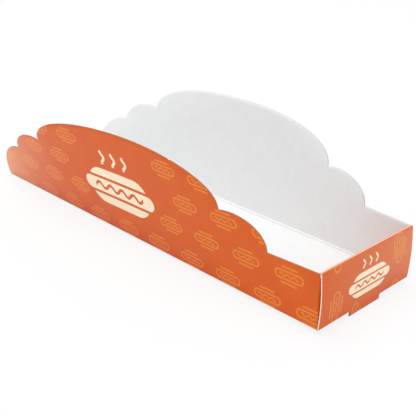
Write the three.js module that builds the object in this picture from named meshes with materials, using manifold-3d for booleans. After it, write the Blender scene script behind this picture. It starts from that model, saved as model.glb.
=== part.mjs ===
// A one-piece folded paperboard tray for a hot dog, in millimetres, +Z up.
// The origin is the centre of the floor's underside. +X points to the closed end, -Y to the front.
import * as THREE from "three";
import { mergeVertices } from "three/addons/utils/BufferGeometryUtils.js";
import Module from "manifold-3d";

const wasm = await Module();
wasm.setup();

// The board, and the air left between its layers where it doubles up
const boardThickness = 0.5;
const layerGap = 0.2;

// Outside of the floor
const trayLength = 222;
const trayWidth = 60;

// The cut outline of a long wall, from the closed end: a low edge, a shoulder, the arch, a shoulder
// and a quarter-round lobe down to the floor. Heights run up the board from the floor fold.
const lowEdgeHeight = 24.5;
const lowEdgeLength = 26;
const openLobeLength = 23.5;
const shoulderLength = 24.5;
const shoulderLead = 6;
const shoulderRise = 12;
const archRise = 17.5;
const archFullnessAlong = 2.3;
const archFullnessUp = 2.1;

// Outward lean of each long wall in degrees, at five even stations from the closed to the open end
const frontLeans = [0, 7.3, 9.9, 14.8, 17.2];
const backLeans = [0, 11.4, 13.9, 13.8, 14.9];

// The rolled end wall: outer panel, corner flaps and inner panel, with a foot and a lock tab. Over the
// flaps the two panels close up to a tight top fold.
const endBulge = 0.75;
const pinchDepth = 3.5;
const flapLength = 24;
const footWidth = 20;
const lockTabShoulder = 1;
const lockTabReach = 1;

// How finely the curves are divided
const archSteps = 40;
const shoulderSteps = 14;
const openLobeSteps = 12;
const lowEdgeSteps = 6;
const wallRows = 4;
const bulgeRows = 10;
const topFoldSteps = 8;

// Places that follow from the sizes
const nearEnd = trayLength / 2;
const side = trayWidth / 2;
const archHalfWidth = (trayLength - lowEdgeLength - openLobeLength) / 2 - shoulderLength;
const archCentre = nearEnd - lowEdgeLength - shoulderLength - archHalfWidth;
const cloudHalfWidth = archHalfWidth + shoulderLength;
const shoulderCrest = archHalfWidth + shoulderLead;
const shoulderRadius = shoulderLength - shoulderLead;
const endHeight = lowEdgeHeight + boardThickness;
const wallEnd = nearEnd - boardThickness - layerGap;
const flapInside = wallEnd - boardThickness;
const innerPanelOutside = flapInside - layerGap;
const innerPanelInside = innerPanelOutside - boardThickness;
const topFoldRadius = boardThickness + layerGap / 2;
const pinchHeight = endHeight - pinchDepth;
const footDepth = nearEnd - innerPanelInside + layerGap;
const innerPanelSide = side - boardThickness - layerGap;

// The lean at a place along the tray, on a smooth curve that runs on straight past the end stations
function leanCurve(leans) {
  const beforeFirst = 2 * leans[0] - leans[1];
  const afterLast = 2 * leans.at(-1) - leans.at(-2);
  const knots = [beforeFirst, ...leans, afterLast];
  const curve = new THREE.SplineCurve(knots.map((lean, knot) => new THREE.Vector2(knot, lean)));
  return (x) => {
    const knot = 1 + ((nearEnd - x) / trayLength) * (leans.length - 1);
    return THREE.MathUtils.degToRad(curve.getPoint(knot / (knots.length - 1)).y);
  };
}

// Heights of the shoulder and the arch, at a distance from the middle of the arch
function shoulderHeight(distance) {
  const along = (distance - shoulderCrest) / shoulderRadius;
  return lowEdgeHeight + shoulderRise * Math.sqrt(Math.max(0, 1 - along * along));
}

function archHeight(distance) {
  const notchHeight = shoulderHeight(archHalfWidth);
  const archTop = lowEdgeHeight + shoulderRise + archRise;
  const along = (distance / archHalfWidth) ** archFullnessAlong;
  return notchHeight + (archTop - notchHeight) * (1 - along) ** (1 / archFullnessUp);
}

// Places along a stretch that crowd together at its far end, where the outline turns steep
function easedPlaces(from, to, steps) {
  const places = [];
  for (let step = 0; step <= steps; step += 1) {
    places.push(from + (to - from) * Math.sin((Math.PI / 2) * (step / steps)));
  }
  return places;
}

// The top edge of a long wall as [x, height] pairs, from the closed end to the open end
function wallOutline() {
  const shoulder = easedPlaces(archHalfWidth, cloudHalfWidth, shoulderSteps)
    .map((distance) => [distance, shoulderHeight(distance)]);
  const halfArch = easedPlaces(0, archHalfWidth, archSteps / 2)
    .map((distance) => [distance, archHeight(distance)]);
  const halfCloud = [...halfArch.slice(0, -1), ...shoulder];
  const outline = [];
  const lowEdgeStart = archCentre + cloudHalfWidth;
  for (let step = 0; step < lowEdgeSteps; step += 1) {
    outline.push([wallEnd + ((lowEdgeStart - wallEnd) * step) / lowEdgeSteps, lowEdgeHeight]);
  }
  outline.push(...halfCloud.map(([distance, height]) => [archCentre + distance, height]).toReversed());
  outline.push(...halfCloud.slice(1).map(([distance, height]) => [archCentre - distance, height]));
  const lobeCentre = archCentre - cloudHalfWidth;
  const lowestTurn = Math.asin(boardThickness / lowEdgeHeight);
  for (let step = 1; step <= openLobeSteps; step += 1) {
    const turn = Math.PI / 2 + ((lowestTurn - Math.PI / 2) * step) / openLobeSteps;
    outline.push([lobeCentre - openLobeLength * Math.cos(turn), lowEdgeHeight * Math.sin(turn)]);
  }
  return outline;
}

// A closed plate between two grids of points, each grid a list of columns with as many rows
function plate(outer, inner) {
  const columns = outer.length;
  const rows = outer[0].length;
  const points = [...outer.flat(), ...inner.flat()];
  const at = (layer, column, row) => (layer * columns + column) * rows + row;
  const triangles = [];
  const addQuad = (a, b, c, d) => triangles.push(a, b, c, a, c, d);
  for (let column = 0; column < columns - 1; column += 1) {
    const next = column + 1;
    for (let row = 0; row < rows - 1; row += 1) {
      const above = row + 1;
      addQuad(at(0, column, row), at(0, next, row), at(0, next, above), at(0, column, above));
      addQuad(at(1, column, above), at(1, next, above), at(1, next, row), at(1, column, row));
    }
    const top = rows - 1;
    addQuad(at(0, column, top), at(0, next, top), at(1, next, top), at(1, column, top));
    addQuad(at(1, column, 0), at(1, next, 0), at(0, next, 0), at(0, column, 0));
  }
  for (let row = 0; row < rows - 1; row += 1) {
    const above = row + 1;
    const last = columns - 1;
    addQuad(at(1, 0, row), at(0, 0, row), at(0, 0, above), at(1, 0, above));
    addQuad(at(0, last, row), at(1, last, row), at(1, last, above), at(0, last, above));
  }
  const geometry = new THREE.BufferGeometry();
  const places = points.flatMap((point) => point.toArray());
  geometry.setAttribute("position", new THREE.Float32BufferAttribute(places, 3));
  geometry.setIndex(triangles);
  return geometry;
}

// Six times the volume that a mesh encloses, negative where its faces point inwards
function signedVolume(positions, indices) {
  const [a, b, c] = [new THREE.Vector3(), new THREE.Vector3(), new THREE.Vector3()];
  let total = 0;
  for (let start = 0; start < indices.length; start += 3) {
    a.fromBufferAttribute(positions, indices[start]);
    b.fromBufferAttribute(positions, indices[start + 1]);
    c.fromBufferAttribute(positions, indices[start + 2]);
    total += a.dot(b.cross(c));
  }
  return total;
}

function solidOf(geometry) {
  const bare = geometry.clone();
  bare.deleteAttribute("normal");
  bare.deleteAttribute("uv");
  const merged = mergeVertices(bare);
  const positions = merged.getAttribute("position");
  const triVerts = Uint32Array.from(merged.getIndex().array);
  if (signedVolume(positions, triVerts) < 0) {
    triVerts.reverse();
  }
  return new wasm.Manifold(new wasm.Mesh({ numProp: 3, vertProperties: positions.array, triVerts }));
}

function boxSolid(low, high) {
  const size = high.map((value, axis) => value - low[axis]);
  const centre = high.map((value, axis) => (value + low[axis]) / 2);
  return solidOf(new THREE.BoxGeometry(...size).translate(...centre));
}

function geometryOf(solid) {
  const mesh = solid.getMesh();
  const geometry = new THREE.BufferGeometry();
  geometry.setAttribute("position", new THREE.BufferAttribute(mesh.vertProperties, 3));
  geometry.setIndex(new THREE.BufferAttribute(mesh.triVerts, 1));
  geometry.computeVertexNormals();
  return geometry;
}

// A long wall, straight up the board and leaning more towards the open end.
// outward is -1 for the front wall and 1 for the back wall.
function longWall(outward, leanAt) {
  const outer = [];
  const inner = [];
  for (const [x, height] of wallOutline()) {
    const lean = leanAt(x);
    const across = outward * boardThickness * Math.cos(lean);
    const outerColumn = [];
    const innerColumn = [];
    for (let row = 0; row <= wallRows; row += 1) {
      const up = (height * row) / wallRows;
      const y = outward * (side + up * Math.sin(lean));
      const z = up * Math.cos(lean);
      outerColumn.push(new THREE.Vector3(x, y, z));
      innerColumn.push(new THREE.Vector3(x, y - across, z + boardThickness * Math.sin(lean)));
    }
    innerColumn[0].set(x, outward * (side - boardThickness / Math.cos(lean)), 0);
    outer.push(outerColumn);
    inner.push(innerColumn);
  }
  return solidOf(plate(outer, inner));
}

// The corner flap that a long wall turns across the closed end, between the two end panels
function cornerFlap(outward) {
  const fold = outward * (side - boardThickness / 2);
  const tip = outward * (side - flapLength);
  const bottom = boardThickness + layerGap;
  return boxSolid([flapInside, Math.min(fold, tip), bottom], [wallEnd, Math.max(fold, tip), pinchHeight]);
}

// Section of the outer end panel as pairs of face points [x, z], printed face first. It is bowed a
// little outwards between the floor fold and the top fold.
function endPanelSection() {
  const section = [];
  for (let row = 0; row <= bulgeRows; row += 1) {
    const up = row / bulgeRows;
    const x = nearEnd + endBulge * Math.sin(Math.PI * up);
    const z = (endHeight - topFoldRadius) * up;
    section.push([[x, z], [x - boardThickness, z]]);
  }
  return section;
}

// Section of the top fold and of the inner panel that comes down from it
function rolledSection() {
  const section = [];
  const centreX = nearEnd - topFoldRadius;
  const centreZ = endHeight - topFoldRadius;
  const insideRadius = topFoldRadius - boardThickness;
  for (let step = 1; step <= topFoldSteps; step += 1) {
    const turn = (Math.PI * step) / topFoldSteps;
    section.push([topFoldRadius, insideRadius].map(
      (radius) => [centreX + radius * Math.cos(turn), centreZ + radius * Math.sin(turn)],
    ));
  }
  for (const z of [pinchHeight, boardThickness + layerGap]) {
    section.push([[innerPanelInside, z], [innerPanelOutside, z]]);
  }
  return section;
}

// A strip of board across the tray with the given section
function crossStrip(section, halfWidth) {
  const columns = (face) => [-halfWidth, halfWidth].map(
    (y) => section.map((pair) => new THREE.Vector3(pair[face][0], y, pair[face][1])),
  );
  return solidOf(plate(columns(0), columns(1)));
}

// The foot hangs in line with the outer panel. It is cut from the floor, where it leaves a slot.
function foot() {
  const half = footWidth / 2;
  return boxSolid([nearEnd - boardThickness, -half, -footDepth], [nearEnd, half, boardThickness]);
}

function floorSlot() {
  const half = footWidth / 2;
  const past = boardThickness;
  return boxSolid([nearEnd - footDepth, -half, -past], [nearEnd, half, boardThickness + past]);
}

function floorPanel() {
  const edge = side - boardThickness / 2;
  const slab = boxSolid([-nearEnd, -edge, 0], [nearEnd - boardThickness / 2, edge, boardThickness]);
  return slab.subtract(floorSlot());
}

// The top fold starts on the last stretch of the outer panel. The inner panel's lock tab is in the slot.
function rolledLayer() {
  const start = endPanelSection().slice(-2);
  const tabHalf = footWidth / 2 - lockTabShoulder;
  const lockTab = boxSolid(
    [innerPanelInside, -tabHalf, -lockTabReach],
    [innerPanelOutside, tabHalf, 2 * boardThickness + layerGap],
  );
  return crossStrip([...start, ...rolledSection()], innerPanelSide).add(lockTab);
}

function foldedTray() {
  return floorPanel()
    .add(longWall(-1, leanCurve(frontLeans)))
    .add(longWall(1, leanCurve(backLeans)))
    .add(cornerFlap(-1))
    .add(cornerFlap(1))
    .add(crossStrip(endPanelSection(), side))
    .add(foot())
    .add(rolledLayer());
}

const printedBoard = new THREE.MeshStandardMaterial({ color: 0xd35e26, roughness: 0.55, metalness: 0 });
const tray = new THREE.Mesh(geometryOf(foldedTray()), printedBoard);
tray.name = "folded_tray";

const hotDogTray = new THREE.Group();
hotDogTray.add(tray);

export default hotDogTray;
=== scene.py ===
import math

import bpy
import numpy as np
from mathutils import Matrix, Vector


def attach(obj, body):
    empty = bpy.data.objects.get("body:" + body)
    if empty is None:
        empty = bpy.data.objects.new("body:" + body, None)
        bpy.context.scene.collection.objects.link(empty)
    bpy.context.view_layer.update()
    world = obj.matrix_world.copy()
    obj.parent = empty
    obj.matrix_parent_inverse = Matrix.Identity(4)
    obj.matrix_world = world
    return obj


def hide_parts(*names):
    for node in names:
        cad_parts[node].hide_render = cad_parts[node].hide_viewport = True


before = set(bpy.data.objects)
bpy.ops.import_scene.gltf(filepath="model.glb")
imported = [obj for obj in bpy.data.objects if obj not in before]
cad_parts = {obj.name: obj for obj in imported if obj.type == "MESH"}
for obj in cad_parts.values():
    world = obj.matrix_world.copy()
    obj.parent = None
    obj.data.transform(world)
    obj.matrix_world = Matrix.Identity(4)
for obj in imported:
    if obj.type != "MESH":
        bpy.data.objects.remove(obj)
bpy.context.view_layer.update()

# Sizes of the tray in millimetres, as in the CAD model. Meshes are scaled to metres at the end.
MM = 0.001
BOARD = 0.5
LAYER_GAP = 0.2
LENGTH = 222.0
WIDTH = 60.0
LOW_EDGE_HEIGHT = 24.5
LOW_EDGE_LENGTH = 26.0
OPEN_LOBE_LENGTH = 23.5
SHOULDER_LENGTH = 24.5
SHOULDER_LEAD = 6.0
SHOULDER_RISE = 12.0
ARCH_RISE = 17.5
ARCH_FULLNESS_ALONG = 2.3
ARCH_FULLNESS_UP = 2.1
# Leans of the long walls in degrees, at even stations from the closed end to the open end
FRONT_LEANS = (0.0, 7.3, 9.9, 14.8, 17.2)
BACK_LEANS = (0.0, 11.4, 13.9, 13.8, 14.9)
# The closed end and its lock
END_BULGE = 0.75
FLAP_LENGTH = 24.0
FOOT_WIDTH = 20.0
LOCK_TAB_SHOULDER = 1.0
LOCK_TAB_REACH = 1.0

NEAR_END = LENGTH / 2
SIDE = WIDTH / 2
ARCH_HALF_WIDTH = (LENGTH - LOW_EDGE_LENGTH - OPEN_LOBE_LENGTH) / 2 - SHOULDER_LENGTH
ARCH_CENTRE = NEAR_END - LOW_EDGE_LENGTH - SHOULDER_LENGTH - ARCH_HALF_WIDTH
CLOUD_HALF_WIDTH = ARCH_HALF_WIDTH + SHOULDER_LENGTH
SHOULDER_CREST = ARCH_HALF_WIDTH + SHOULDER_LEAD
SHOULDER_RADIUS = SHOULDER_LENGTH - SHOULDER_LEAD
END_HEIGHT = LOW_EDGE_HEIGHT + BOARD
WALL_END = NEAR_END - BOARD - LAYER_GAP
INNER_PANEL_INSIDE = WALL_END - 2 * BOARD - LAYER_GAP
FOOT_DEPTH = NEAR_END - INNER_PANEL_INSIDE + LAYER_GAP
INNER_PANEL_SIDE = SIDE - BOARD - LAYER_GAP
FLAP_BOTTOM = BOARD + LAYER_GAP
TOP_FOLD_WIDTH = 2 * BOARD + LAYER_GAP
PINCH_DEPTH = 3.5
FLAP_TOP = END_HEIGHT - PINCH_DEPTH

# Rounded folds, pressed creases, and the nicks that the cutting die left in the arch rims
FOLD_RADIUS = 0.55
FOLD_STEPS = 4
BEAD_REACH = 0.95
NICK_PLACES = {-1: (34.4,), 1: (36.3,)}
NICK_DEPTH = 0.55
NICK_HALF_WIDTH = 0.45


# The outline and the leans of the long walls

def lean_at(leans, u):
    """Lean in radians at places u, on a smooth curve through the stations."""
    station = (NEAR_END - np.asarray(u, float)) / LENGTH * (len(leans) - 1)
    station = np.clip(station, 0, len(leans) - 1)
    knots = np.array([2 * leans[0] - leans[1], *leans, 2 * leans[-1] - leans[-2]])
    first = np.minimum(station.astype(int), len(leans) - 2)
    t = station - first
    a, b, c, d = (knots[first + k] for k in range(4))
    bend = (2 * a - 5 * b + 4 * c - d) * t**2 + (3 * b - a - 3 * c + d) * t**3
    return np.radians(0.5 * (2 * b + (c - a) * t + bend))


def shoulder_height(distance):
    """Height of the quarter-round lobe beside the arch, at a distance from the arch's middle."""
    along = (distance - SHOULDER_CREST) / SHOULDER_RADIUS
    return LOW_EDGE_HEIGHT + SHOULDER_RISE * math.sqrt(max(0.0, 1 - along**2))


def arch_height(distance):
    """Height of the full arch at a distance from its middle. It meets the shoulders in a notch."""
    notch = shoulder_height(ARCH_HALF_WIDTH)
    top = LOW_EDGE_HEIGHT + SHOULDER_RISE + ARCH_RISE
    along = min(1.0, distance / ARCH_HALF_WIDTH) ** ARCH_FULLNESS_ALONG
    return notch + (top - notch) * (1 - along) ** (1 / ARCH_FULLNESS_UP)


def wall_height(u, outward):
    """Height of a long wall's top edge at place u, with the small nicks left by the cutting die."""
    distance = abs(u - ARCH_CENTRE)
    if distance < ARCH_HALF_WIDTH:
        height = arch_height(distance)
    elif distance < CLOUD_HALF_WIDTH:
        height = shoulder_height(distance)
    elif u > ARCH_CENTRE:
        height = LOW_EDGE_HEIGHT
    else:
        along = min(1.0, (distance - CLOUD_HALF_WIDTH) / OPEN_LOBE_LENGTH)
        height = LOW_EDGE_HEIGHT * math.sqrt(1 - along**2)
    for place in NICK_PLACES[outward]:
        height -= NICK_DEPTH * math.exp(-(((u - place) / NICK_HALF_WIDTH) ** 2))
    return height


def open_end_place(height):
    """Place along the tray of the open lobe's edge at a height above the floor fold."""
    along = math.sqrt(1 - (height / LOW_EDGE_HEIGHT) ** 2)
    return ARCH_CENTRE - CLOUD_HALF_WIDTH - OPEN_LOBE_LENGTH * along


# Folded paths: a strip of board seen edge on, with a rounded fold at each corner

class FoldedPath:
    """The outer face of a strip through corner points, measured from the first corner."""

    def __init__(self, corners, radius=FOLD_RADIUS):
        self.corners = [np.array(corner, float) for corner in corners]
        steps = [b - a for a, b in zip(self.corners, self.corners[1:])]
        self.lengths = [float(np.hypot(*step)) for step in steps]
        self.directions = [step / length for step, length in zip(steps, self.lengths)]
        self.starts = [0.0, *np.cumsum(self.lengths)]
        self.radius = radius
        self.turns = []
        for before, after in zip(self.directions, self.directions[1:]):
            cross = before[0] * after[1] - before[1] * after[0]
            self.turns.append(math.atan2(cross, float(before @ after)))

    def tangent_length(self, fold):
        return self.radius * math.tan(abs(self.turns[fold]) / 2)

    def at(self, place):
        """Point on the outer face and the outward normal, at a distance along the path."""
        for fold, turn in enumerate(self.turns):
            reach = self.tangent_length(fold)
            offset = place - self.starts[fold + 1]
            if abs(offset) < reach:
                return self._on_fold(fold, turn, reach, offset)
        part = int(np.searchsorted(self.starts[1:-1], place, side="right"))
        direction = self.directions[part]
        point = self.corners[part] + direction * (place - self.starts[part])
        return point, np.array([direction[1], -direction[0]])

    def _on_fold(self, fold, turn, reach, offset):
        direction = self.directions[fold]
        normal = np.array([direction[1], -direction[0]])
        side = self.radius if turn > 0 else -self.radius
        centre = self.corners[fold + 1] - direction * reach - normal * side
        angle = turn * (offset + reach) / (2 * reach)
        turned = np.array([
            normal[0] * math.cos(angle) - normal[1] * math.sin(angle),
            normal[0] * math.sin(angle) + normal[1] * math.cos(angle),
        ])
        return centre + turned * side, turned


# The sheet

class Sheet:
    """The unfolded blank as a mesh of cells, each corner with its flat place and its folded place."""

    def __init__(self):
        self.index = {}
        self.flat = []
        self.outer = []
        self.inner = []
        self.quads = []

    def corner(self, key, flat, outer, inner):
        if key not in self.index:
            self.index[key] = len(self.flat)
            self.flat.append(flat)
            self.outer.append(np.array(outer, float))
            self.inner.append(np.array(inner, float))
        return self.index[key]

    def cell(self, a, b, c, d):
        self.quads.append((a, b, c, d))


def eased(start, stop, steps):
    """Places that crowd together towards stop, where the outline turns steep."""
    return [start + (stop - start) * math.sin(math.pi / 2 * step / steps) for step in range(steps + 1)]


def evenly(start, stop, spacing):
    """Places from start to stop, about spacing apart."""
    steps = max(1, round(abs(stop - start) / spacing))
    return [start + (stop - start) * step / steps for step in range(steps + 1)]


def around(centre, reach):
    """Places that follow a rounded fold."""
    return [centre + reach * step / FOLD_STEPS for step in range(-FOLD_STEPS, FOLD_STEPS + 1)]


def unique(places, closest=1e-6):
    """Sorted places, without those that lie closer than closest to the one before."""
    kept = []
    for place in sorted(places):
        if not kept or place - kept[-1] > closest:
            kept.append(place)
    return kept


# The columns and rows of the mesh. FOLD_OFFSETS are the distances of the rows beside a floor fold.
RIGHT_ANGLE_REACH = FOLD_RADIUS * math.tan(math.pi / 4)
ARCH_COLUMNS = 56
SHOULDER_COLUMNS = 26
LOWEST_LOBE_TURN = 0.1
LOBE_TURN_STEP = 0.05
COLUMN_SPACING = 1.2
CLOSEST_COLUMNS = 0.02
NICK_STEPS = (-2, -1.3, -0.6, 0, 0.6, 1.3, 2)
FLOOR_ROW_SPACING = 2.5
WALL_ROWS = 34
FOLD_OFFSETS = (0.0, 0.14, 0.28, 0.42, 0.55, 0.7, 0.82, 0.9, 0.95, 1.02)
PANEL_ROW_SPACING = 1.0
CLOSEST_PANEL_ROWS = 1e-4
FOOT_ROW_SPACING = 0.5
PINCH_MARGIN = 0.3

# How far off two places may be that count as one, and the digits that their keys keep
SLACK = 0.01
KEY_DIGITS = 6

# Places along the unfolded end panels, which follow on from the floor
PANEL_START = NEAR_END + RIGHT_ANGLE_REACH
OUTER_TOP = NEAR_END + END_HEIGHT
INNER_TOP = OUTER_TOP + TOP_FOLD_WIDTH
PINCH_END = INNER_TOP + math.hypot(NEAR_END - TOP_FOLD_WIDTH - INNER_PANEL_INSIDE, PINCH_DEPTH)
INNER_BOTTOM = PINCH_END + END_HEIGHT - PINCH_DEPTH - BOARD - LAYER_GAP
TAB_TIP = PINCH_END + END_HEIGHT - PINCH_DEPTH + LOCK_TAB_REACH
SLOT_START = NEAR_END - FOOT_DEPTH
FOOT_HALF = FOOT_WIDTH / 2
TAB_HALF = FOOT_HALF - LOCK_TAB_SHOULDER

# How far the section of a long wall is drawn, past its top edge
PATH_REACH = 60.0


def wall_columns():
    """Places of the mesh columns along the tray, from the open end to the long walls' end."""
    half = eased(0, ARCH_HALF_WIDTH, ARCH_COLUMNS)
    half += eased(ARCH_HALF_WIDTH, CLOUD_HALF_WIDTH, SHOULDER_COLUMNS)
    places = [ARCH_CENTRE + distance for distance in half]
    places += [ARCH_CENTRE - distance for distance in half]
    turns = evenly(math.pi / 2, LOWEST_LOBE_TURN, LOBE_TURN_STEP)
    places += [ARCH_CENTRE - CLOUD_HALF_WIDTH - OPEN_LOBE_LENGTH * math.cos(turn) for turn in turns]
    places += evenly(ARCH_CENTRE + CLOUD_HALF_WIDTH, WALL_END - RIGHT_ANGLE_REACH, COLUMN_SPACING)
    places += [WALL_END - RIGHT_ANGLE_REACH * step / FOLD_STEPS for step in range(FOLD_STEPS + 1)]
    for nicks in NICK_PLACES.values():
        places += [nick + NICK_HALF_WIDTH * step for nick in nicks for step in NICK_STEPS]
    return unique([-NEAR_END, SLOT_START, *places], CLOSEST_COLUMNS)


def floor_rows():
    """Places of the mesh rows across the floor and the end panels."""
    half = evenly(0, FOOT_HALF, FLOOR_ROW_SPACING)
    half += evenly(FOOT_HALF, SIDE - FOLD_OFFSETS[-1], FLOOR_ROW_SPACING)
    half += [TAB_HALF, INNER_PANEL_SIDE, *(SIDE - offset for offset in FOLD_OFFSETS)]
    return unique([*half, *(-row for row in half)])


def wall_rows(height):
    """Distances up a long wall from its floor fold to its top edge."""
    low = FOLD_OFFSETS[-1]
    shares = sorted([*evenly(0, 1, 1 / WALL_ROWS)[1:], (FLAP_TOP - low) / (LOW_EDGE_HEIGHT - low)])
    return [*FOLD_OFFSETS, *(low + (height - low) * share for share in shares)]


def exact(place):
    """A place as part of a corner's key, so that two ways to work it out agree."""
    return round(place, KEY_DIGITS)


class Folding:
    """Where each place of the blank goes when the tray is folded up."""

    def __init__(self):
        self.sections = {}
        self.plan = FoldedPath([(0, -SIDE), (WALL_END, -SIDE), (WALL_END, FLAP_LENGTH)])
        self.end = FoldedPath([
            (0, 0), (NEAR_END, 0), (NEAR_END, END_HEIGHT),
            (NEAR_END - TOP_FOLD_WIDTH, END_HEIGHT), (INNER_PANEL_INSIDE, END_HEIGHT - PINCH_DEPTH),
            (INNER_PANEL_INSIDE, -2 * LOCK_TAB_REACH),
        ])

    def section(self, u, outward):
        """The section of one long wall and half the floor, with the lean that the wall has there."""
        key = (exact(u), outward)
        if key not in self.sections:
            leans = FRONT_LEANS if outward < 0 else BACK_LEANS
            lean = float(lean_at(leans, min(u, WALL_END)))
            top = (-SIDE - PATH_REACH * math.sin(lean), PATH_REACH * math.cos(lean))
            self.sections[key] = FoldedPath([top, (-SIDE, 0), (0, 0)])
        return self.sections[key]

    def strip(self, u, v):
        """A place on the floor or a long wall, where v runs across the blank."""
        outward = -1 if v < 0 else 1
        section = self.section(u, outward)
        offset = SIDE - abs(v)
        point, normal = section.at(PATH_REACH + offset)
        inward = -normal * BOARD
        if abs(offset) < BEAD_REACH:
            inward = self.bead(section, offset) - point
        plan_point, plan_normal = self.plan.at(u)
        share = min(1.0, max(0.0, (RIGHT_ANGLE_REACH - offset) / (2 * RIGHT_ANGLE_REACH)))
        x = u + share * (plan_point[0] - u)
        y = point[0] + share * (plan_point[1] + SIDE)
        outer = np.array([x, -outward * y, point[1]])
        depth = [-plan_normal[0] * inward[0], outward * plan_normal[1] * inward[0], inward[1]]
        return outer, outer + depth

    @staticmethod
    def bead(section, offset):
        """The pressed ridge on the white side of a floor fold, round the corner of the white faces."""
        down, across = section.directions
        normals = [np.array([direction[1], -direction[0]]) for direction in (down, across)]
        corner = section.corners[1] - BOARD * (normals[0] + normals[1]) / (1 + normals[0] @ normals[1])
        opening = math.atan2(down[1] * across[0] - down[0] * across[1], -(down @ across))
        angle = abs(opening) * (BEAD_REACH - offset) / (2 * BEAD_REACH)
        ray = np.array([
            across[0] * math.cos(angle) - across[1] * math.sin(angle),
            across[0] * math.sin(angle) + across[1] * math.cos(angle),
        ])
        return corner + (BEAD_REACH - BOARD) * ray

    def end_strip(self, u, v):
        """A place on the outer end panel, the roll, the inner end panel or its lock tab."""
        point, normal = self.end.at(u)
        outer = np.array([point[0] + self.bulge(u - NEAR_END), v, point[1]])
        return outer, outer - BOARD * np.array([normal[0], 0, normal[1]])

    def foot(self, u, v):
        """A place on the foot, which stays in line with the outer end panel."""
        drop = u - NEAR_END
        outer = np.array([NEAR_END + self.bulge(drop), v, drop])
        return outer, outer - [BOARD, 0, 0]

    @staticmethod
    def bulge(up):
        """How far the outer end panel bows out at a height."""
        return END_BULGE * math.sin(math.pi * up / END_HEIGHT) if up < END_HEIGHT else 0.0


def corners_of(columns, rows):
    """Each cell of a grid, with the four corners that go round it."""
    for column in range(len(columns) - 1):
        for row in range(len(rows) - 1):
            corners = ((column, row), (column + 1, row), (column + 1, row + 1), (column, row + 1))
            yield column, row, corners


def add_floor(sheet, folding, columns, rows):
    """The floor, with the slot that the foot leaves in it."""
    for column, row, corners in corners_of(columns, rows):
        middle_u = (columns[column] + columns[column + 1]) / 2
        middle_v = (rows[row] + rows[row + 1]) / 2
        if middle_u > SLOT_START and abs(middle_v) < FOOT_HALF:
            continue
        cell = []
        for i, j in corners:
            flat = (columns[i], rows[j])
            cell.append(sheet.corner(("strip", i, exact(rows[j])), flat, *folding.strip(*flat)))
        sheet.cell(*cell)


def add_long_wall(sheet, folding, columns, outward):
    """A long wall and its corner flap. Its lowest row is the floor's outermost row."""
    heights = [wall_height(u, outward) for u in columns]
    # The lobe ends at height zero, so its first column takes its rows from the next one
    heights[0] = heights[1]
    flap = [WALL_END + RIGHT_ANGLE_REACH * step / FOLD_STEPS for step in range(1, FOLD_STEPS + 1)]
    flap += evenly(WALL_END + RIGHT_ANGLE_REACH, WALL_END + FLAP_LENGTH, COLUMN_SPACING)[1:]
    places = [*columns, *flap]
    heights += [LOW_EDGE_HEIGHT] * len(flap)
    rows = [wall_rows(height) for height in heights]
    for column, row, corners in corners_of(places, rows[0]):
        on_flap = places[column + 1] > WALL_END + SLACK
        middle = (rows[column][row] + rows[column][row + 1]) / 2
        if on_flap and not FLAP_BOTTOM < middle < FLAP_TOP:
            continue
        cell = []
        for i, j in corners:
            up = rows[i][j]
            u = open_end_place(up) if i == 0 else places[i]
            flat = (u, outward * (SIDE + up))
            key = ("strip", i, exact(flat[1])) if j == 0 else ("wall", outward, i, j)
            cell.append(sheet.corner(key, flat, *folding.strip(*flat)))
        sheet.cell(*cell)


def add_closed_end(sheet, folding, last_column, rows):
    """The floor's last stretch, the outer end panel with its foot, the roll and the inner panel."""
    reach = RIGHT_ANGLE_REACH
    places = [WALL_END, *around(NEAR_END, reach), *around(OUTER_TOP, reach), *around(INNER_TOP, reach)]
    places += evenly(PANEL_START, OUTER_TOP - reach, PANEL_ROW_SPACING)
    places += [PINCH_END - PINCH_MARGIN, PINCH_END]
    places += evenly(PINCH_END + PINCH_MARGIN, INNER_BOTTOM, 2 * PANEL_ROW_SPACING)
    places += [TAB_TIP]
    places = unique(places, CLOSEST_PANEL_ROWS)
    for column, row, corners in corners_of(places, rows):
        middle_u = (places[column] + places[column + 1]) / 2
        middle_v = abs(rows[row] + rows[row + 1]) / 2
        if middle_v > half_width_at(middle_u) or (middle_u < PANEL_START and middle_v < FOOT_HALF):
            continue
        cell = []
        for i, j in corners:
            flat = (places[i], rows[j])
            on_floor = i == 0 and abs(rows[j]) < SIDE - BEAD_REACH + SLACK
            key = ("strip", last_column, exact(rows[j])) if on_floor else ("end", places[i], exact(rows[j]))
            cell.append(sheet.corner(key, flat, *folding.end_strip(*flat)))
        sheet.cell(*cell)
    panel_place = min(places, key=lambda place: abs(place - PANEL_START))
    add_foot(sheet, folding, panel_place, rows)


def half_width_at(u):
    """Half the width of the unfolded end panels at place u."""
    if u < OUTER_TOP:
        return SIDE
    return INNER_PANEL_SIDE if u < INNER_BOTTOM else TAB_HALF


def add_foot(sheet, folding, panel_place, rows):
    """The foot, cut out of the floor. Its last row is the end panel's first row, at panel_place."""
    places = unique([*evenly(SLOT_START, NEAR_END, FOOT_ROW_SPACING), PANEL_START])
    rows = [row for row in rows if abs(row) <= FOOT_HALF + SLACK]
    for _, _, corners in corners_of(places, rows):
        cell = []
        for i, j in corners:
            flat = (places[i], rows[j])
            on_panel = i == len(places) - 1
            key = ("end", panel_place, exact(rows[j])) if on_panel else ("foot", i, exact(rows[j]))
            cell.append(sheet.corner(key, flat, *folding.foot(*flat)))
        sheet.cell(*cell)


def folded_sheet():
    sheet = Sheet()
    folding = Folding()
    columns = wall_columns()
    rows = floor_rows()
    add_floor(sheet, folding, columns, rows)
    add_long_wall(sheet, folding, columns, -1)
    add_long_wall(sheet, folding, columns, 1)
    add_closed_end(sheet, folding, len(columns) - 1, rows)
    return sheet


PRINT_SIDE, WHITE_SIDE, CUT_EDGE = range(3)


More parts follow.
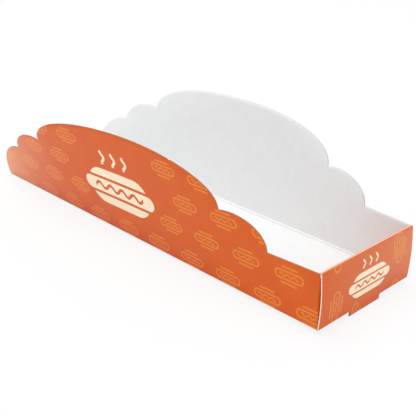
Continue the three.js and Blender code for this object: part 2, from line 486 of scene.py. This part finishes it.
def sheet_object(name, sheet, materials):
    """The sheet as one closed mesh: printed face, white face and the cut edge all round."""
    count = len(sheet.flat)
    faces = []
    slots = []
    # Sides that only one cell has, in the order in which they are met
    borders = {}
    for quad in sheet.quads:
        faces.append(quad)
        slots.append(PRINT_SIDE)
        faces.append(tuple(count + corner for corner in reversed(quad)))
        slots.append(WHITE_SIDE)
        for a, b in zip(quad, quad[1:] + quad[:1]):
            if (b, a) in borders:
                del borders[(b, a)]
            else:
                borders[(a, b)] = True
    for a, b in borders:
        faces.append((b, a, count + a, count + b))
        slots.append(CUT_EDGE)
    points = np.array(sheet.outer + sheet.inner) * MM
    mesh = bpy.data.meshes.new(name)
    mesh.from_pydata(points.tolist(), [], faces)
    mesh.polygons.foreach_set("material_index", slots)
    for material in materials:
        mesh.materials.append(material)
    flat = np.array(sheet.flat + sheet.flat) * MM
    corner_vertices = np.zeros(len(mesh.loops), np.int32)
    mesh.loops.foreach_get("vertex_index", corner_vertices)
    layer = mesh.uv_layers.new(name="flat")
    layer.data.foreach_set("uv", flat[corner_vertices].ravel())
    mesh.polygons.foreach_set("use_smooth", [slot != CUT_EDGE for slot in slots])
    mesh.validate()
    piece = bpy.data.objects.new(name, mesh)
    bpy.context.scene.collection.objects.link(piece)
    return piece


# Colours are written as they are seen on screen, and turned into the values that shaders take

def linear(value):
    value /= 255
    return value / 12.92 if value <= 0.04045 else ((value + 0.055) / 1.055) ** 2.4


def seen(red, green, blue):
    """A shader's colour from its screen values."""
    return (linear(red), linear(green), linear(blue), 1.0)


ORANGE = seen(217, 95, 20)
ORANGE_DEEP = seen(211, 84, 12)
ICON = seen(229, 131, 44)
CREAM = seen(250, 236, 206)
# Painted sheen, a paler orange
PAINTED_SHEEN = seen(240, 172, 130)
# Painted shade along the floor creases
CREASE_SHADE_ORANGE = seen(206, 68, 6)
# Rubbed ink on the top fold, painted paler as its highlight too
FOLD_WEAR_AND_HIGHLIGHT = seen(255, 196, 168)
BOARD_WHITE = seen(241, 242, 242)
BOARD_SHADE = seen(234, 234, 234)
# Painted highlight on the beads of the floor creases
BEAD_HIGHLIGHT = seen(252, 252, 251)
# Dirt and painted shade in the score line
SCORE_DIRT_AND_SHADE = seen(218, 215, 205)
SMUDGE = seen(222, 219, 204)
PULP = seen(196, 176, 156)
PULP_SHADE = seen(166, 140, 120)
# Pale pulp with a painted pink reflection of the orange print
PULP_PALE_AND_REFLECTION = seen(255, 228, 212)
PULP_STAINED = seen(176, 118, 90)
PULP_CLEAN = seen(192, 190, 182)


class Field:
    """A value that varies over a surface and takes part in plain arithmetic."""

    def __init__(self, tree, source):
        self.tree = tree
        self.source = source

    def math(self, operation, *others, clamp=False):
        node = self.tree.nodes.new("ShaderNodeMath")
        node.operation = operation
        node.use_clamp = clamp
        for socket, value in zip(node.inputs, (self, *others)):
            if isinstance(value, Field):
                self.tree.links.new(value.source, socket)
            else:
                socket.default_value = value
        return Field(self.tree, node.outputs[0])

    def __add__(self, other):
        return self.math("ADD", other)

    def __sub__(self, other):
        return self.math("SUBTRACT", other)

    def __mul__(self, other):
        return self.math("MULTIPLY", other)

    def __truediv__(self, other):
        return self.math("DIVIDE", other)

    def abs(self):
        return self.math("ABSOLUTE")

    def at_least(self, other):
        return self.math("MAXIMUM", other)

    def at_most(self, other):
        return self.math("MINIMUM", other)

    def clamped(self):
        return self.math("ADD", 0.0, clamp=True)

    def rising(self, start, length):
        """0 up to start, then a straight rise to 1 over the length."""
        return ((self - start) / length).clamped()

    def falling(self, start, length):
        """1 up to start, then a straight fall to 0 over the length."""
        return ((self - start - length) / -length).clamped()

    def filled(self, soft=0.1):
        """1 where the value is below zero and 0 above it, with an edge that is soft millimetres wide."""
        return (self / -soft).math("ADD", 0.5, clamp=True)

    def line(self, half_width, soft=0.1):
        """1 where the value is within the half width of zero."""
        return (self.abs() - half_width).filled(soft)

    def without(self, other):
        return self * other.inverse()

    def inverse(self):
        return (self * -1.0).math("ADD", 1.0, clamp=True)


def capsule(p, q, half_length, radius):
    """Distance to the edge of a bar with round ends."""
    past = (p.abs() - half_length).at_least(0.0)
    return (past * past + q * q).math("SQRT") - radius


def wave(p, q, height, length):
    """Distance to a wavy line, made even along it by its slope."""
    turn = p * (2 * math.pi / length)
    slope = turn.math("COSINE") * (2 * math.pi * height / length)
    return (q - turn.math("SINE") * height) / (slope * slope + 1.0).math("SQRT")


def flat_fields(tree):
    """Places u and v on the unfolded blank, in millimetres."""
    coordinates = tree.nodes.new("ShaderNodeUVMap")
    coordinates.uv_map = "flat"
    split = tree.nodes.new("ShaderNodeSeparateXYZ")
    tree.links.new(coordinates.outputs["UV"], split.inputs[0])
    return Field(tree, split.outputs[0]) / MM, Field(tree, split.outputs[1]) / MM


def noise(tree, scale, detail=3.0, roughness=0.5, distortion=0.0):
    """Cloudy values around 0.5 over the board, with scale given as blotches per metre."""
    place = tree.nodes.new("ShaderNodeTexCoord")
    node = tree.nodes.new("ShaderNodeTexNoise")
    node.inputs["Scale"].default_value = scale
    node.inputs["Detail"].default_value = detail
    node.inputs["Roughness"].default_value = roughness
    node.inputs["Distortion"].default_value = distortion
    tree.links.new(place.outputs["Object"], node.inputs["Vector"])
    return Field(tree, node.outputs[0])


def patches(values, start, gain):
    """Cloudy values with more contrast: 0 below start, and 1 from 1 / gain above it."""
    return ((values - start) * gain).clamped()


def blended(tree, share, first, second):
    """A colour between two others. Each is a colour or the result of another blend."""
    node = tree.nodes.new("ShaderNodeMix")
    node.data_type = "RGBA"
    tree.links.new(share.source, node.inputs["Factor"])
    for socket, colour in zip((node.inputs[6], node.inputs[7]), (first, second)):
        if isinstance(colour, tuple):
            socket.default_value = colour
        else:
            tree.links.new(colour, socket)
    return node.outputs[2]


def new_material(name):
    material = bpy.data.materials.new(name)
    material.use_nodes = True
    tree = material.node_tree
    shader = tree.nodes["Principled BSDF"]
    return material, tree, shader


def add_grain(tree, shader, height, distance):
    bump = tree.nodes.new("ShaderNodeBump")
    bump.inputs["Strength"].default_value = 1.0
    bump.inputs["Distance"].default_value = distance
    tree.links.new(height.source, bump.inputs["Height"])
    tree.links.new(bump.outputs[0], shader.inputs["Normal"])


# The small print: a pictogram all over, in rows that are set off by half a step. Bars and capsules are
# given by their half length and radius, and waves by their height and length, all in millimetres.
PICTOGRAM_REACH = 7.2
PICTOGRAM_RISE = 4.2
PRINT_START = 8.0
PRINT_STEP = 22.0
PRINT_ROW = 13.7
SMALL_SAUSAGE = (5.0, 1.75)
SMALL_SAUSAGE_LINE = 0.45
SMALL_MUSTARD = (0.45, 3.3)
SMALL_MUSTARD_LINE = 0.37
SMALL_MUSTARD_REACH = 4.7
SMALL_BAR = (3.5, 0.48)
SMALL_BAR_PLACE = 3.5

# The emblem: a roll and sausage with steam, at its full scale
SAUSAGE = (20.6, 3.7)
ROLL = (11.5, 9.6)
SAUSAGE_MARGIN = 1.5
MUSTARD = (1.35, 8.2)
MUSTARD_REACH = 17.0
STEAM = (0.9, 6.2)
STEAM_PLACES = (-7.5, 0.0, 7.5)
STEAM_START = 14.5
STEAM_MIDDLE = 16.0
STEAM_HALF_HEIGHT = 3.6
STEAM_CLEARED_SIDE = 9.0
STEAM_CLEARED_TOP = 20.0
EMBLEM_LINE = 0.75

# Each emblem's place along its panel, the height of its middle over the panel's fold, and its scale
FRONT_EMBLEM = (-4.4, 23.5, 1.0)
END_EMBLEM = (0.6, 10.8, 0.56)


def small_pictogram(p, q):
    """A sausage with a line of mustard between two bars, about 14 mm long."""
    sausage = capsule(p, q, *SMALL_SAUSAGE).line(SMALL_SAUSAGE_LINE)
    mustard = wave(p, q, *SMALL_MUSTARD).line(SMALL_MUSTARD_LINE)
    mustard = mustard * (p.abs() - SMALL_MUSTARD_REACH).filled()
    bars = capsule(p, q.abs() - SMALL_BAR_PLACE, *SMALL_BAR).filled()
    return sausage.at_least(mustard).at_least(bars)


def emblem(p, q, scale):
    """A filled roll and sausage with steam over them."""
    p, q = p / scale, q / scale
    sausage = capsule(p, q, *SAUSAGE)
    ink = capsule(p, q, *ROLL).filled().without((sausage - SAUSAGE_MARGIN).filled())
    mustard = wave(p, q, *MUSTARD).line(EMBLEM_LINE) * (p.abs() - MUSTARD_REACH).filled()
    ink = ink.at_least(sausage.filled().without(mustard))
    for place in STEAM_PLACES:
        steam = wave(q - STEAM_START, p - place, *STEAM).line(EMBLEM_LINE)
        ink = ink.at_least(steam * ((q - STEAM_MIDDLE).abs() - STEAM_HALF_HEIGHT).filled())
    return ink


def emblem_area(p, q, scale, beside, above):
    """Where no pictogram may have its middle, so that it stays clear of the emblem."""
    side = p.abs() - sum(SAUSAGE) * scale - beside
    roll = side.at_least(q.abs() - ROLL[1] * scale - above)
    side = p.abs() - STEAM_CLEARED_SIDE * scale - beside
    steam = side.at_least(q - STEAM_CLEARED_TOP * scale - above).at_least(q * -1.0)
    return roll.at_most(steam).filled()


def on_front(u, v):
    """Places on the front wall, seen upright from the middle of its emblem."""
    place, height, _ = FRONT_EMBLEM
    return u - place, (v + SIDE + height) * -1.0


def on_end(u, v):
    """Places on the outer end panel, seen upright from the middle of its emblem."""
    place, height, _ = END_EMBLEM
    return v - place, u - NEAR_END - height


def emblem_areas(u, v):
    front = emblem_area(*on_front(u, v), FRONT_EMBLEM[-1], PICTOGRAM_REACH, PICTOGRAM_RISE)
    end = emblem_area(*on_end(u, v), END_EMBLEM[-1], PICTOGRAM_RISE, PICTOGRAM_REACH)
    return front.at_least(end)


def repeated_print(u, v):
    """The pictograms all over, apart from those whose middle lies near an emblem."""
    row = (v / PRINT_ROW).math("FLOOR")
    set_off = row.math("FLOORED_MODULO", 2.0) * (PRINT_STEP / 2)
    p = (u - PRINT_START - set_off).math("WRAP", PRINT_STEP / 2, -PRINT_STEP / 2)
    q = v - (row + 0.5) * PRINT_ROW
    return small_pictogram(p, q).without(emblem_areas(u - p, v - q))


# Painted shade and sheen on the print, and its wear and gloss. Reaches are in millimetres, and the rest are
# shares.
ICON_STRENGTH = 0.95
# Painted shade along the floor creases darkens the ground and dims the pictograms there
ICON_LOSS_IN_CREASE_SHADE = 0.4
CREASE_SHADE = 0.75
CREASE_SHADE_REACH = 9.0
CREASE_SHADE_LENGTH = 85.0
# Painted sheen on the end panel's upper part
END_SHEEN_RISE = 14.0
END_SHEEN_MIDDLE = 0.17
END_SHEEN_SLOPE = 0.0045
# Painted sheen towards the open end
OPEN_END_SHEEN_LENGTH = 70.0
OPEN_END_SHEEN_MOST = 0.7
# The pale line along the top fold: rubbed ink and a painted highlight
TOP_FOLD_LINE_PLACE = OUTER_TOP + 0.45 * TOP_FOLD_WIDTH
TOP_FOLD_LINE_HALF_WIDTH = 0.42
TOP_FOLD_LINE_SOFTNESS = 0.3
TOP_FOLD_LINE_MOST = 0.85
PRINT_IOR = 1.3
PRINT_ROUGHNESS = 0.28
PRINT_ROUGHNESS_RANGE = 0.12


def printed_colours(tree, u, v):
    """The orange ground with the pictograms and emblems, and painted shade that darkens the ground and dims
    the pictograms along the floor creases.
    """
    blotches = patches(noise(tree, scale=60, detail=4.0), start=0.35, gain=1.6)
    ground = blended(tree, blotches, ORANGE, ORANGE_DEEP)
    # Painted shade: darker and redder along the floor creases, fading out towards the closed end
    crease_shade = (v.abs() - SIDE).abs().falling(0.0, CREASE_SHADE_REACH) * u.falling(0.0, CREASE_SHADE_LENGTH)
    ground = blended(tree, crease_shade * CREASE_SHADE, ground, CREASE_SHADE_ORANGE)
    icons = repeated_print(u, v) * (crease_shade * -ICON_LOSS_IN_CREASE_SHADE + ICON_STRENGTH)
    colour = end_panel_sheen(tree, u, v, blended(tree, icons, ground, ICON))
    front_ink = emblem(*on_front(u, v), FRONT_EMBLEM[-1])
    end_ink = emblem(*on_end(u, v), END_EMBLEM[-1])
    return blended(tree, front_ink.at_least(end_ink), colour, CREAM)


def end_panel_sheen(tree, u, v, colour):
    """Painted sheen: the end panel's ground is paler in its upper part, most of all towards the back wall.
    """
    raised = u.rising(NEAR_END, END_SHEEN_RISE) * (u - OUTER_TOP).filled()
    return blended(tree, raised * (v * END_SHEEN_SLOPE + END_SHEEN_MIDDLE), colour, PAINTED_SHEEN)


def sheen_and_fold_line(tree, u, colour):
    """Painted sheen makes the print paler towards the open end, and a pale line runs along the end wall's
    top fold, partly rubbed ink and partly painted highlight.
    """
    # Painted sheen towards the open end
    open_end_sheen = u.falling(-NEAR_END, OPEN_END_SHEEN_LENGTH)
    colour = blended(tree, open_end_sheen * open_end_sheen * OPEN_END_SHEEN_MOST, colour, PAINTED_SHEEN)
    # Pale line along the top fold: rubbed ink and a painted highlight
    top_fold = (u - TOP_FOLD_LINE_PLACE).line(TOP_FOLD_LINE_HALF_WIDTH, TOP_FOLD_LINE_SOFTNESS)
    return blended(tree, top_fold * TOP_FOLD_LINE_MOST, colour, FOLD_WEAR_AND_HIGHLIGHT)


def printed_board():
    """The print side: a thin gloss over orange ink."""
    material, tree, shader = new_material("printed_board")
    u, v = flat_fields(tree)
    colour = sheen_and_fold_line(tree, u, printed_colours(tree, u, v))
    tree.links.new(colour, shader.inputs["Base Color"])
    roughness = noise(tree, scale=900, detail=2.0) * PRINT_ROUGHNESS_RANGE + PRINT_ROUGHNESS
    tree.links.new(roughness.source, shader.inputs["Roughness"])
    shader.inputs["IOR"].default_value = PRINT_IOR
    shader.inputs["Sheen Weight"].default_value = 0.5
    shader.inputs["Sheen Roughness"].default_value = 0.3
    add_grain(tree, shader, noise(tree, scale=1400, detail=3.0, roughness=0.6), distance=0.00004)
    return material


# Dirt and painted shade in the score line beside each floor crease, a painted highlight on each bead, and a
# small smudge on the back wall, with its place along the tray, its height, its half length and its radius
SCORE_HALF_WIDTH = 0.16
SCORE_SOFTNESS = 0.12
BEAD_HIGHLIGHT_SOFTNESS = 0.2
SMUDGE_PLACE = (62.0, 6.5, 2.5, 1.6)
SMUDGE_SOFTNESS = 4.0
SMUDGE_STRENGTH = 0.8


def white_board():
    """The white side: matt, uncoated, with faint fibres."""
    material, tree, shader = new_material("white_board")
    fibres = noise(tree, scale=260, detail=5.0, roughness=0.65, distortion=0.6)
    colour = blended(tree, patches(fibres, start=0.3, gain=1.4), BOARD_WHITE, BOARD_SHADE)
    u, v = flat_fields(tree)
    across = v.abs() - SIDE
    # Painted highlight on the bead beside each floor crease
    bead = (across - BEAD_REACH / 2).line(BEAD_REACH, BEAD_HIGHLIGHT_SOFTNESS)
    colour = blended(tree, bead, colour, BEAD_HIGHLIGHT)
    # Dirt and painted shade in the score line on the floor side of each crease
    score_dirt_and_shade = (across + BEAD_REACH).line(SCORE_HALF_WIDTH, SCORE_SOFTNESS)
    colour = blended(tree, score_dirt_and_shade, colour, SCORE_DIRT_AND_SHADE)
    place, height, half_length, radius = SMUDGE_PLACE
    smudge = capsule(u - place, v - SIDE - height, half_length, radius).filled(SMUDGE_SOFTNESS)
    specks = patches(noise(tree, scale=700, detail=4.0, roughness=0.7), start=0.45, gain=3.0)
    colour = blended(tree, smudge * specks * SMUDGE_STRENGTH, colour, SMUDGE)
    tree.links.new(colour, shader.inputs["Base Color"])
    shader.inputs["Roughness"].default_value = 0.7
    shader.inputs["Specular IOR Level"].default_value = 0.3
    add_grain(tree, shader, noise(tree, scale=1100, detail=4.0, roughness=0.6), distance=0.00005)
    return material


def cut_edge():
    """The board's cut edge: stained on the front wall, clean on the back wall, and pale on the end panels
    with a painted pink reflection of the orange print.
    """
    material, tree, shader = new_material("cut_edge")
    colour = blended(tree, noise(tree, scale=2500, detail=2.0), PULP, PULP_SHADE)
    u, v = flat_fields(tree)
    colour = blended(tree, (v + SIDE).filled(), colour, PULP_STAINED)
    colour = blended(tree, (v * -1.0 + SIDE).filled(), colour, PULP_CLEAN)
    # Pale on the end panels, with a painted pink reflection of the orange print
    colour = blended(tree, (u * -1.0 + WALL_END + BOARD).filled(), colour, PULP_PALE_AND_REFLECTION)
    tree.links.new(colour, shader.inputs["Base Color"])
    shader.inputs["Roughness"].default_value = 0.9
    return material


# The photograph's view: place in millimetres, angles in degrees, and focal length in the frame's pixels
CAMERA_PLACE = (262.2, -232.5, 164.9)
CAMERA_AZIMUTH = 136.272
CAMERA_ELEVATION = -24.448
FOCAL_PIXELS = 776.9
FRAME_PIXELS = 416
SENSOR_MM = 36.0
NEAREST_SEEN = 0.01


def add_camera():
    data = bpy.data.cameras.new("camera")
    data.sensor_width = SENSOR_MM
    data.lens = FOCAL_PIXELS * SENSOR_MM / FRAME_PIXELS
    data.clip_start = NEAREST_SEEN
    camera = bpy.data.objects.new("camera", data)
    azimuth = math.radians(CAMERA_AZIMUTH)
    elevation = math.radians(CAMERA_ELEVATION)
    forward = Vector((
        math.cos(elevation) * math.cos(azimuth),
        math.cos(elevation) * math.sin(azimuth),
        math.sin(elevation),
    ))
    camera.location = Vector(CAMERA_PLACE) * MM
    camera.rotation_euler = forward.to_track_quat("-Z", "Y").to_euler()
    bpy.context.scene.collection.objects.link(camera)
    bpy.context.scene.camera = camera


def rays_of(tree, *kinds):
    """1 for rays of any of these kinds, and 0 for the others."""
    path = tree.nodes.new("ShaderNodeLightPath")
    share = Field(tree, path.outputs[kinds[0]])
    for kind in kinds[1:]:
        share = share.at_least(Field(tree, path.outputs[kind]))
    return share


# The floor, in metres. It is tilted a little, because the tray stands on its foot and its far edge.
FLOOR_SIZE = 6.0
FLOOR_COLOUR = seen(250, 250, 250)
FLOOR_OWN_WHITE = 0.85
FLOOR_MIRRORED_WHITE = 0.4


def floor_material():
    """A pale floor that is seen nearly white, and keeps the tray's faint shadow."""
    material, tree, shader = new_material("floor")
    shader.inputs["Base Color"].default_value = FLOOR_COLOUR
    shader.inputs["Roughness"].default_value = 0.9
    shader.inputs["Specular IOR Level"].default_value = 0.1
    white = tree.nodes.new("ShaderNodeEmission")
    mix = tree.nodes.new("ShaderNodeMixShader")
    directly = rays_of(tree, "Is Camera Ray", "Is Transmission Ray") * FLOOR_OWN_WHITE
    mirrored = rays_of(tree, "Is Glossy Ray") * FLOOR_MIRRORED_WHITE
    tree.links.new(directly.at_least(mirrored).source, mix.inputs[0])
    tree.links.new(shader.outputs[0], mix.inputs[1])
    tree.links.new(white.outputs[0], mix.inputs[2])
    tree.links.new(mix.outputs[0], tree.nodes["Material Output"].inputs["Surface"])
    return material


def add_floor_plane():
    mesh = bpy.data.meshes.new("floor")
    half = FLOOR_SIZE / 2
    corners = [(-half, -half, 0), (half, -half, 0), (half, half, 0), (-half, half, 0)]
    mesh.from_pydata(corners, [], [(0, 1, 2, 3)])
    mesh.materials.append(floor_material())
    floor = bpy.data.objects.new("floor", mesh)
    tilt = math.atan2(FOOT_DEPTH, LENGTH)
    floor.matrix_world = Matrix.Translation((-NEAR_END * MM, 0, 0)) @ Matrix.Rotation(tilt, 4, "Y")
    bpy.context.scene.collection.objects.link(floor)


# The light: the world's level, and each lamp's name, place, target, width and height in metres, and watts
WORLD_LEVEL = 0.64
LAMPS = (
    ("key", (-0.35, -0.05, 1.45), (0, 0, 0), 1.2, 1.2, 12.4),
    ("front", (-0.1, -1.25, 0.035), (0, 0, 0.02), 1.2, 0.06, 1.9),
    ("end", (1.25, 0.45, 0.07), (0, 0, 0.02), 1.0, 0.12, 2.5),
)


def add_area_light(name, place, target, width, height, power):
    data = bpy.data.lights.new(name, "AREA")
    data.shape = "RECTANGLE"
    data.size = width
    data.size_y = height
    data.energy = power
    light = bpy.data.objects.new(name, data)
    light.location = place
    light.rotation_euler = (Vector(target) - Vector(place)).to_track_quat("-Z", "Y").to_euler()
    bpy.context.scene.collection.objects.link(light)


def add_world():
    """A world that lights the tray at its level, and is white where it is seen or mirrored."""
    world = bpy.data.worlds.new("studio")
    world.use_nodes = True
    tree = world.node_tree
    background = tree.nodes["Background"]
    background.inputs["Color"].default_value = (1, 1, 1, 1)
    seen_directly = rays_of(tree, "Is Camera Ray", "Is Glossy Ray", "Is Transmission Ray")
    level = seen_directly * (1 - WORLD_LEVEL) + WORLD_LEVEL
    tree.links.new(level.source, background.inputs["Strength"])
    bpy.context.scene.world = world


def main():
    materials = [printed_board(), white_board(), cut_edge()]
    sheet = sheet_object("folded_tray_sheet", folded_sheet(), materials)
    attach(sheet, "root")
    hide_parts("folded_tray")
    add_floor_plane()
    add_world()
    for lamp in LAMPS:
        add_area_light(*lamp)
    add_camera()
    bpy.context.scene.view_settings.view_transform = "Standard"


main()
